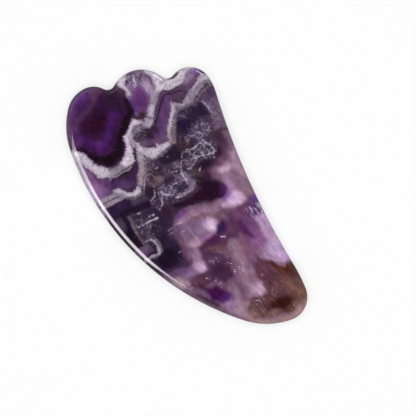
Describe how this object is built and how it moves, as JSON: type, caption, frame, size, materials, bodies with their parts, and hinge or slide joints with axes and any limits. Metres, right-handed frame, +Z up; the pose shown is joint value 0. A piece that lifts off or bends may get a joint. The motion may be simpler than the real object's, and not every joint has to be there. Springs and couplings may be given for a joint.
{
  "type": "gua sha scraper",
  "caption": "Flat horn-shaped massage stone with a convex scraping edge, a slightly hollow edge, a rounded tip and a lobed end.",
  "frame": {"origin": "centre of the bounding box on the underside, the flat face that the stone lies on", "axes": "+Z up through the slab's thickness, +Y along the length towards the lobed end, +X towards the slightly hollow edge"},
  "size_m": [0.0534, 0.1, 0.006],
  "materials": {
    "banded_amethyst": "polished, purple and lilac with pale bands and a brown tip"
  },
  "bodies": {
    "root": {"scraper_stone": "banded_amethyst"}
  },
  "joints": []
}
